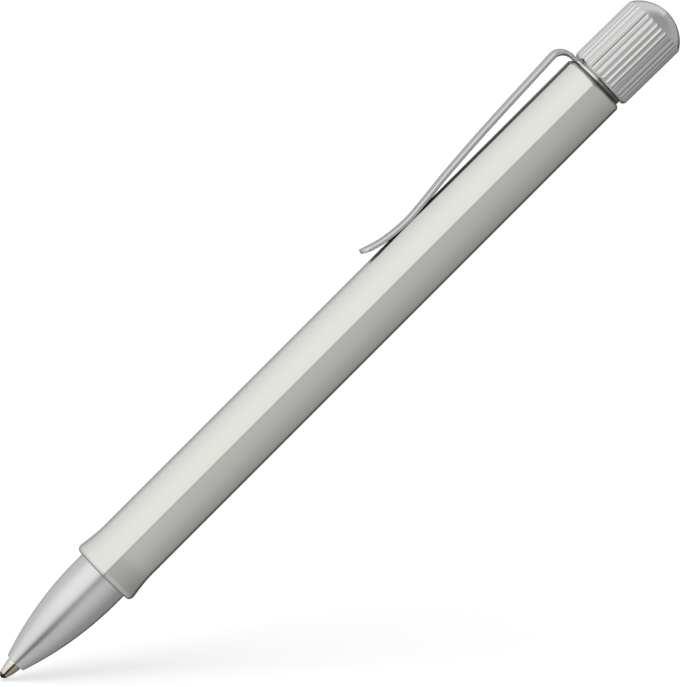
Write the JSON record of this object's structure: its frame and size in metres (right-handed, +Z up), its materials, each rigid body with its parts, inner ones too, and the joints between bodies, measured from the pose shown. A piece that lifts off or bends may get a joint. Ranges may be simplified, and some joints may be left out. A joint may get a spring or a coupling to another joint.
{
  "type": "twist ballpoint pen",
  "caption": "Twist ballpoint pen with a hexagonal metal barrel, a sprung steel clip, a smooth nose cone and a ribbed, domed crown that turns to draw the refill in.",
  "frame": {"origin": "bottom centre of the bounding box, with the pen lying on a face of its barrel and the clip on top", "axes": "+X along the pen from the tip to the crown, +Z up, towards the clip, +Y across"},
  "size_m": [0.1382, 0.0116, 0.0133],
  "materials": {
    "barrel_metal": "anodised, fine satin",
    "satin_plating": "satin nickel plating on brass",
    "polished_steel": "polished spring steel",
    "brass": "turned",
    "nickel_silver": "polished nickel silver",
    "carbide": "polished tungsten carbide",
    "spring_steel": "drawn wire",
    "acetal": "moulded, satin",
    "rubber": "moulded"
  },
  "bodies": {
    "barrel": {"barrel": "barrel_metal", "barrel_front_bush": "brass", "mechanism_housing": "brass", "mechanism_end_ring": "acetal", "thrust_washer": "acetal", "clip_nut": "brass", "clip_ring": "polished_steel"},
    "crown": {"crown": "satin_plating", "crown_insert": "brass", "crown_washer": "acetal", "cam_rotor": "brass", "friction_ring": "rubber"},
    "pusher": {"pusher": "acetal", "cross_pin": "polished_steel"},
    "refill": {"refill_ball": "carbide", "refill_tip": "nickel_silver", "refill_neck": "brass", "refill_tube": "satin_plating", "refill_rear_plug": "acetal"},
    "nose": {"nose_cone": "satin_plating", "return_spring": "spring_steel"},
    "clip": {"clip_arm": "polished_steel"}
  },
  "joints": [
    {"name": "crown_twist", "type": "hinge", "parent": "barrel", "child": "crown", "pos_m": [0.0557, 0, 0.00546], "axis": [1, 0, 0], "range_deg": [0, 180]},
    {"name": "pusher_slide", "type": "slide", "parent": "barrel", "child": "pusher", "axis": [1, 0, 0], "range_m": [0, 0.0045]},
    {"name": "refill_slide", "type": "slide", "parent": "barrel", "child": "refill", "axis": [1, 0, 0], "range_m": [0, 0.0045], "deforming": ["return_spring"]},
    {"name": "nose_removal", "type": "slide", "parent": "barrel", "child": "nose", "axis": [-1, 0, 0], "range_m": [0, 0.03]},
    {"name": "clip_flex", "type": "hinge", "parent": "barrel", "child": "clip", "pos_m": [0.0526, 0, 0.0133], "axis": [0, 1, 0], "range_deg": [0, 3], "stiffness_Nm_per_rad": 0.5}
  ],
  "couplings": [
    {"joint": "pusher_slide", "follows": "crown_twist", "m_per_rad": 0.0014324},
    {"joint": "refill_slide", "follows": "crown_twist", "m_per_rad": 0.0014324}
  ]
}
